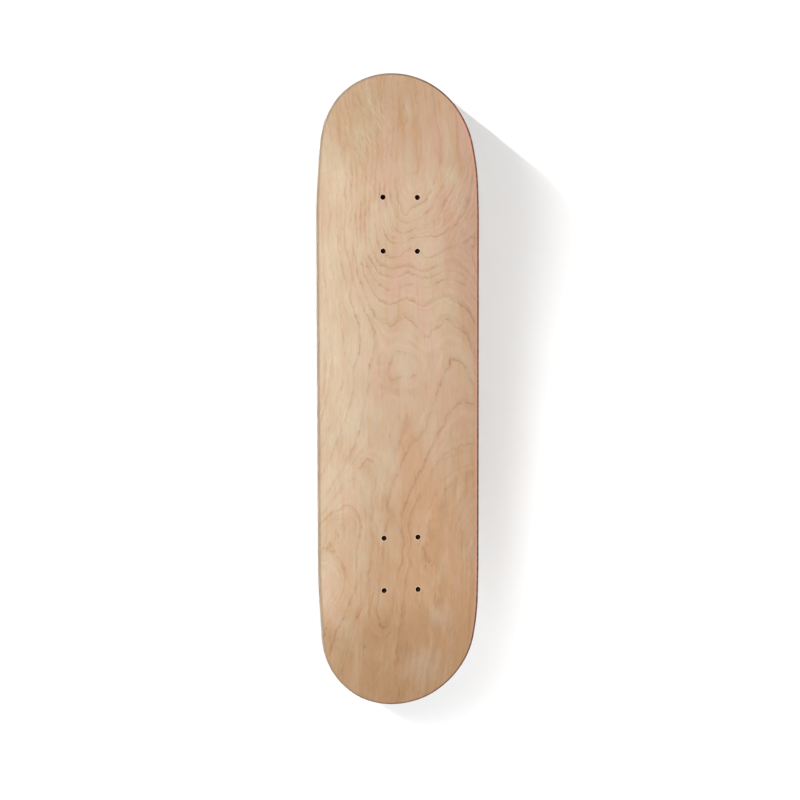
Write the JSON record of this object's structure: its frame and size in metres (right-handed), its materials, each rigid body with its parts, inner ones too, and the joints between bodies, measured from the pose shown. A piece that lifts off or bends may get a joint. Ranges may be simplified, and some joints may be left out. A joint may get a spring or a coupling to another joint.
{
  "type": "skateboard deck",
  "caption": "Bare popsicle skateboard deck of pressed maple veneers, with kicked nose and tail, shallow dish and drilled truck bolt holes.",
  "frame": {"origin": "midway between the two truck bolt patterns, on the flat of the underside", "axes": "+X towards the nose, +Z out of the riding side, +Y to the left of a rider who faces the nose"},
  "size_m": [0.7748, 0.1968, 0.0559],
  "materials": {
    "face_maple": "sanded maple face veneer, thin clear sealer, long grain",
    "core_maple": "maple veneer edge, sanded, long grain",
    "crossband_maple": "maple veneer laid across the board, end grain at the sides"
  },
  "bodies": {
    "root": {"bottom_face_veneer": "face_maple", "lower_core_veneer": "core_maple", "lower_crossband": "crossband_maple", "centre_core_veneer": "core_maple", "upper_crossband": "crossband_maple", "upper_core_veneer": "core_maple", "top_face_veneer": "face_maple"}
  },
  "joints": []
}
